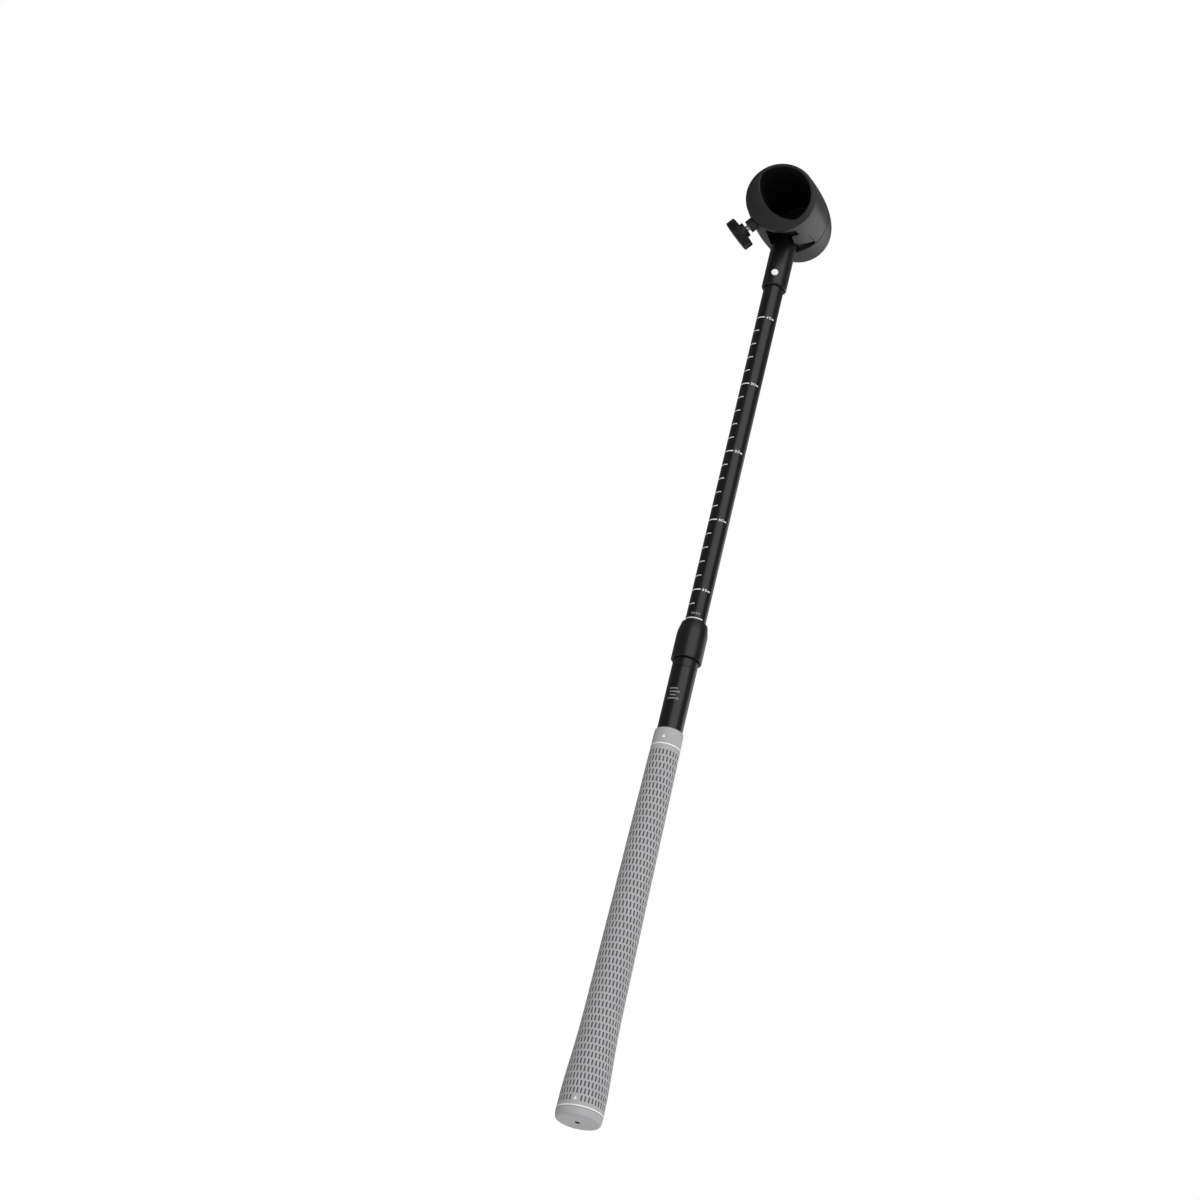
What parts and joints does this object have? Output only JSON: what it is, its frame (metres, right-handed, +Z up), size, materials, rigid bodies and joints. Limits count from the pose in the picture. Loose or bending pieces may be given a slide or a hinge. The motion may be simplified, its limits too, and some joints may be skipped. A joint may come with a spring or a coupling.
{
  "type": "swing trainer stick",
  "caption": "Telescopic golf swing trainer stick with a patterned rubber grip, a scaled shaft and a tilted cup with a thumb screw for a hand controller.",
  "frame": {"origin": "centre of the grip's butt end face, where the stick is held", "axes": "+Z up the stick from the butt to the cup, -Y to the side the cup's mouth and the snap button face, +X to the right seen from that side"},
  "size_m": [0.0601, 0.078, 0.6605],
  "materials": {
    "grip_rubber": "matt, moulded pattern",
    "tube_paint": "satin black",
    "black_plastic": "fine matt",
    "seal_rubber": "matt",
    "nylon": "natural",
    "white_plastic": "satin white",
    "spring_steel": "plain",
    "brass": "turned"
  },
  "bodies": {
    "handle": {"grip_sleeve": "grip_rubber", "grip_end_cap": "grip_rubber", "handle_tube": "tube_paint", "tube_end_plug": "black_plastic", "ferrule": "black_plastic", "clutch_bush": "nylon", "collet": "nylon"},
    "collar": {"lock_collar": "black_plastic", "wiper_seal": "seal_rubber"},
    "guide": {"guide_bush": "nylon"},
    "shaft": {"scale_tube": "tube_paint", "tube_bottom_plug": "black_plastic", "tube_top_plug": "black_plastic", "neck_socket": "black_plastic", "side_bracket": "black_plastic", "cup_shell": "black_plastic", "rear_cap": "black_plastic", "floor_pad": "seal_rubber", "thread_bush": "brass"},
    "button": {"snap_button": "white_plastic", "leaf_spring": "spring_steel"},
    "pad": {"pressure_pad": "seal_rubber"},
    "thumb_screw": {"clamp_screw": "spring_steel", "knob": "black_plastic", "knob_cap": "black_plastic"}
  },
  "joints": [
    {"name": "collar_twist", "type": "hinge", "parent": "handle", "child": "collar", "pos_m": [0, 0, 0.315], "axis": [0, 0, 1], "range_deg": [0, 90]},
    {"name": "telescope", "type": "slide", "parent": "handle", "child": "guide", "axis": [0, 0, 1], "range_m": [-0.2455, 0]},
    {"name": "shaft_swivel", "type": "hinge", "parent": "guide", "child": "shaft", "pos_m": [0, 0, 0.2645], "axis": [0, 0, 1], "continuous": true},
    {"name": "snap_button_press", "type": "slide", "parent": "shaft", "child": "button", "axis": [0, 1, 0], "range_m": [0, 0.0026], "stiffness_N_per_m": 100, "springref_m": -0.002},
    {"name": "clamp_feed", "type": "slide", "parent": "shaft", "child": "pad", "axis": [0.7076, -0.1788, 0.6837], "range_m": [-0.0035, 0.00175]},
    {"name": "clamp_spin", "type": "hinge", "parent": "pad", "child": "thumb_screw", "pos_m": [-0.00117, -0.02512, 0.62874], "axis": [0.7076, -0.1788, 0.6837], "range_deg": [-1801, 901]}
  ],
  "couplings": [
    {"joint": "clamp_spin", "follows": "clamp_feed", "rad_per_m": 8976}
  ]
}
